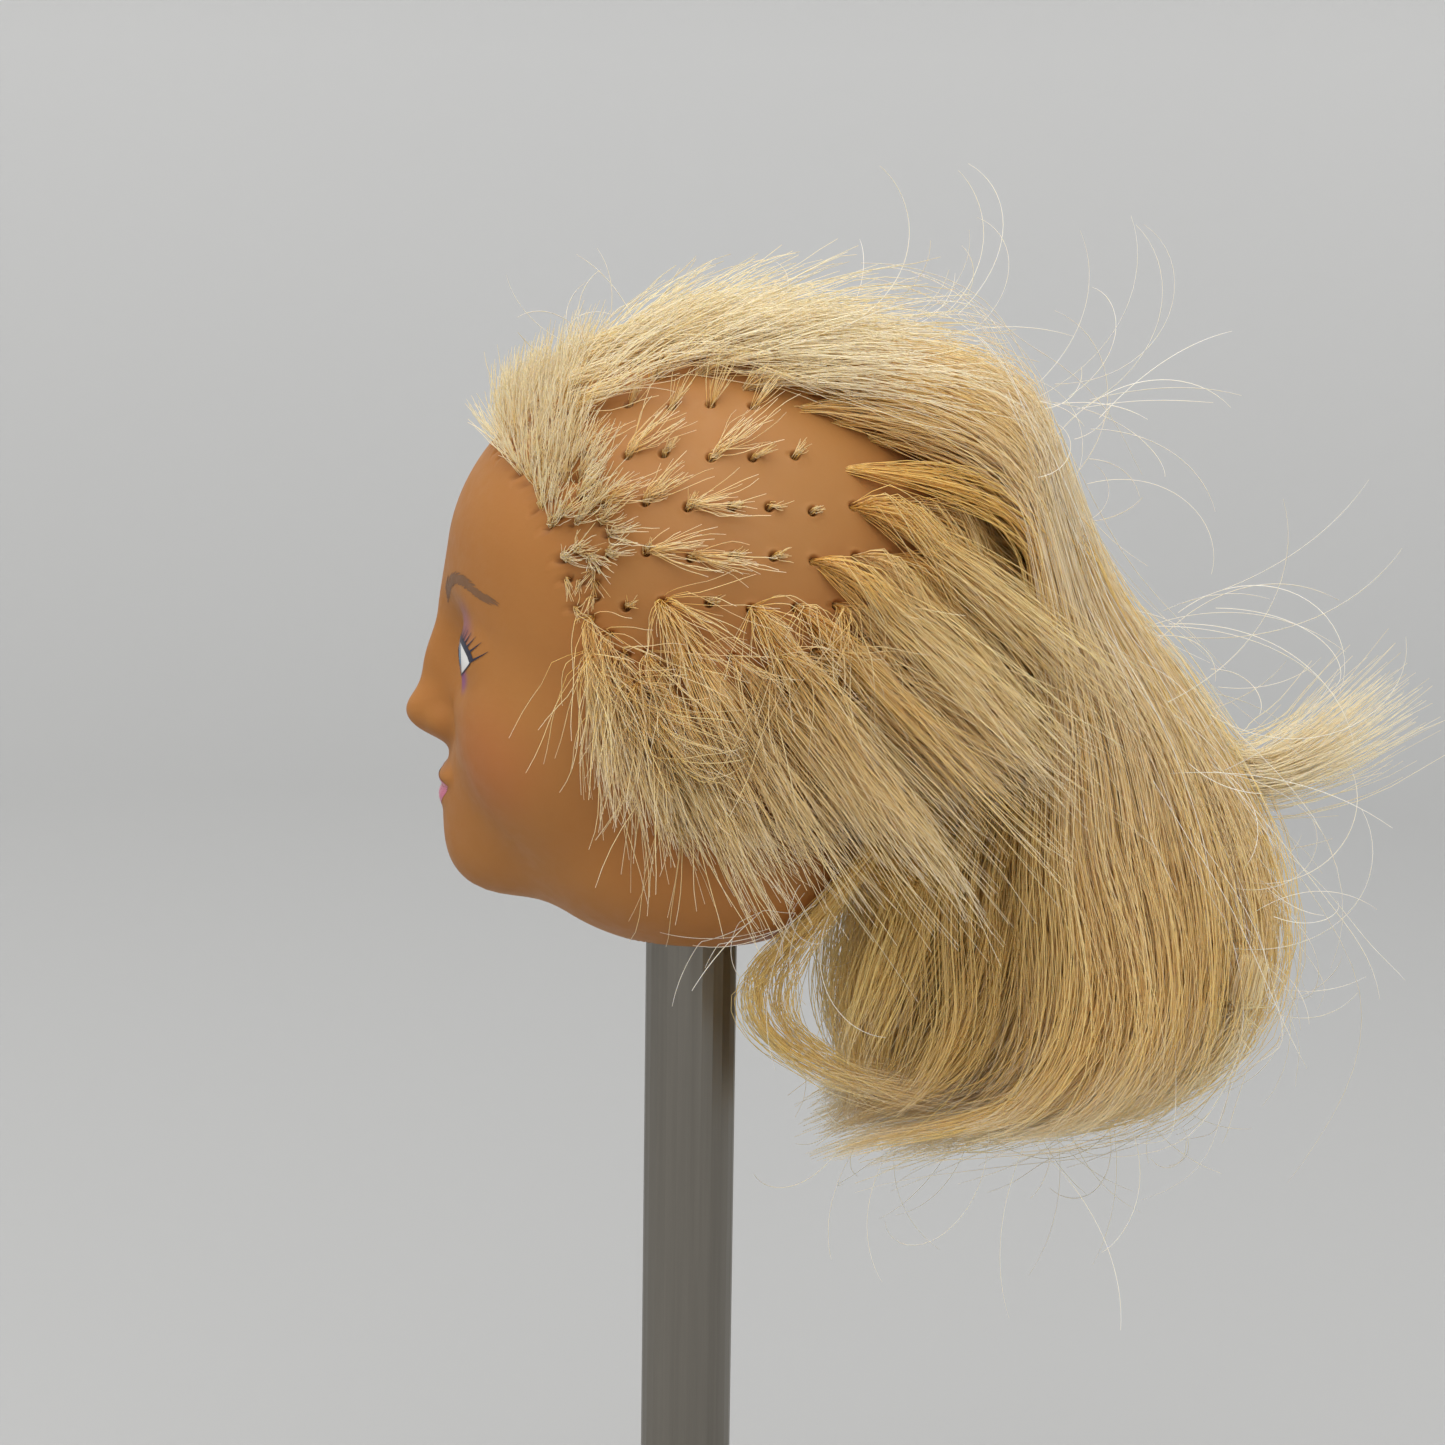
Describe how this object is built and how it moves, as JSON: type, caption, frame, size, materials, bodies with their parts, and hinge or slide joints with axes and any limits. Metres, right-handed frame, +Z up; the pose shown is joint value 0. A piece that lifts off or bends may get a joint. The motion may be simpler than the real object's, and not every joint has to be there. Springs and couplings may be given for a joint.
{
  "type": "hair practice head",
  "caption": "Doll-size hollow head with rooted, partly cropped hair, on a ball joint at the top of a slim round post with a weighted disc base.",
  "frame": {"origin": "centre of the underside of the base pad, on the floor", "axes": "+Z up along the post's axis, the face looks along -Y, and the head's own left side is +X"},
  "size_m": [0.052, 0.074, 0.125],
  "materials": {
    "rubber": "matt black rubber",
    "brushed_steel": "brushed along the bar",
    "dark_steel": "plain turned steel",
    "nylon": "natural nylon",
    "socket_plastic": "moulded hard plastic",
    "vinyl": "soft vinyl, satin, tan, with sprayed make-up",
    "hair_roots": "matted loops of synthetic fibre",
    "hair": "glossy pale blonde synthetic fibre"
  },
  "bodies": {
    "post": {"base_pad": "rubber", "base_plate": "brushed_steel", "base_screw": "dark_steel", "base_lock_washer": "dark_steel", "base_ferrule": "brushed_steel", "post_bar": "brushed_steel", "post_bush": "nylon"},
    "peg": {"neck_peg": "dark_steel", "thrust_washer": "nylon", "spindle_clip": "dark_steel"},
    "swivel": {"neck_ball": "nylon"},
    "head": {"neck_socket": "socket_plastic", "socket_cap": "socket_plastic", "socket_ring": "dark_steel", "head_shell": "vinyl", "root_lining": "hair_roots", "hairline_fringe": "hair", "crown_sweep": "hair", "nape_layer": "hair", "left_temple_stubble": "hair", "left_side_cut": "hair", "left_back_layer": "hair", "right_side_sweep": "hair", "right_back_layer": "hair", "back_length_left": "hair", "back_length_right": "hair", "curled_ends_left": "hair", "curled_ends_right": "hair", "nape_lock": "hair", "flick_lock": "hair"}
  },
  "joints": [
    {"name": "head_lift", "type": "slide", "parent": "post", "child": "peg", "axis": [0, 0, 1], "range_m": [0, 0.016]},
    {"name": "head_turn", "type": "hinge", "parent": "peg", "child": "swivel", "pos_m": [0, 0, 0.088], "axis": [0, 0, 1], "continuous": true},
    {"name": "head_nod", "type": "hinge", "parent": "swivel", "child": "head", "pos_m": [0, 0, 0.088], "axis": [1, 0, 0], "range_deg": [-10, 12]}
  ]
}
